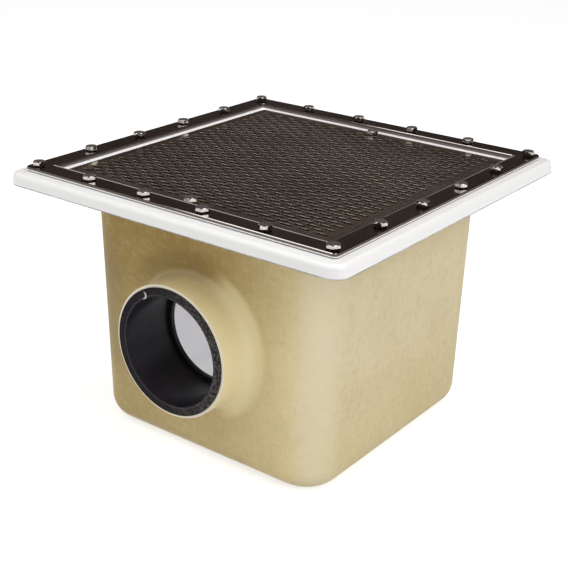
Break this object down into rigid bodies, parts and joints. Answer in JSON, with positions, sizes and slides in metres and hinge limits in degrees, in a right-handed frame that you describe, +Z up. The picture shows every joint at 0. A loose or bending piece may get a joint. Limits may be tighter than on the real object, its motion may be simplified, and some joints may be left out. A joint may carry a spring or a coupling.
{
  "type": "pool main drain",
  "caption": "Square glass-fibre sump with a slotted stainless grate, a bolted clamp frame for the pool liner and a side socket for the suction pipe.",
  "frame": {"origin": "centre of the overall box at the underside of the sump's base", "axes": "+Z up out of the grate, -Y out of the pipe socket's mouth, +X to the right of someone who looks into the mouth"},
  "size_m": [0.4532, 0.4532, 0.3209],
  "materials": {
    "grp": "white gelcoat on the flange and inside, raw glass fibre outside",
    "pvc": "smooth bore, sawn end",
    "gasket": "matt",
    "plate_steel": "polished plate",
    "bolt_steel": "bright",
    "brass": "turned"
  },
  "bodies": {
    "root": {"sump": "grp", "pipe_socket": "pvc", "lower_gasket": "gasket", "upper_gasket": "gasket", "clamp_frame": "plate_steel", "grate": "plate_steel", "frame_bolts": "bolt_steel", "grate_screws": "bolt_steel", "frame_inserts": "brass", "grate_inserts": "brass"}
  },
  "joints": []
}
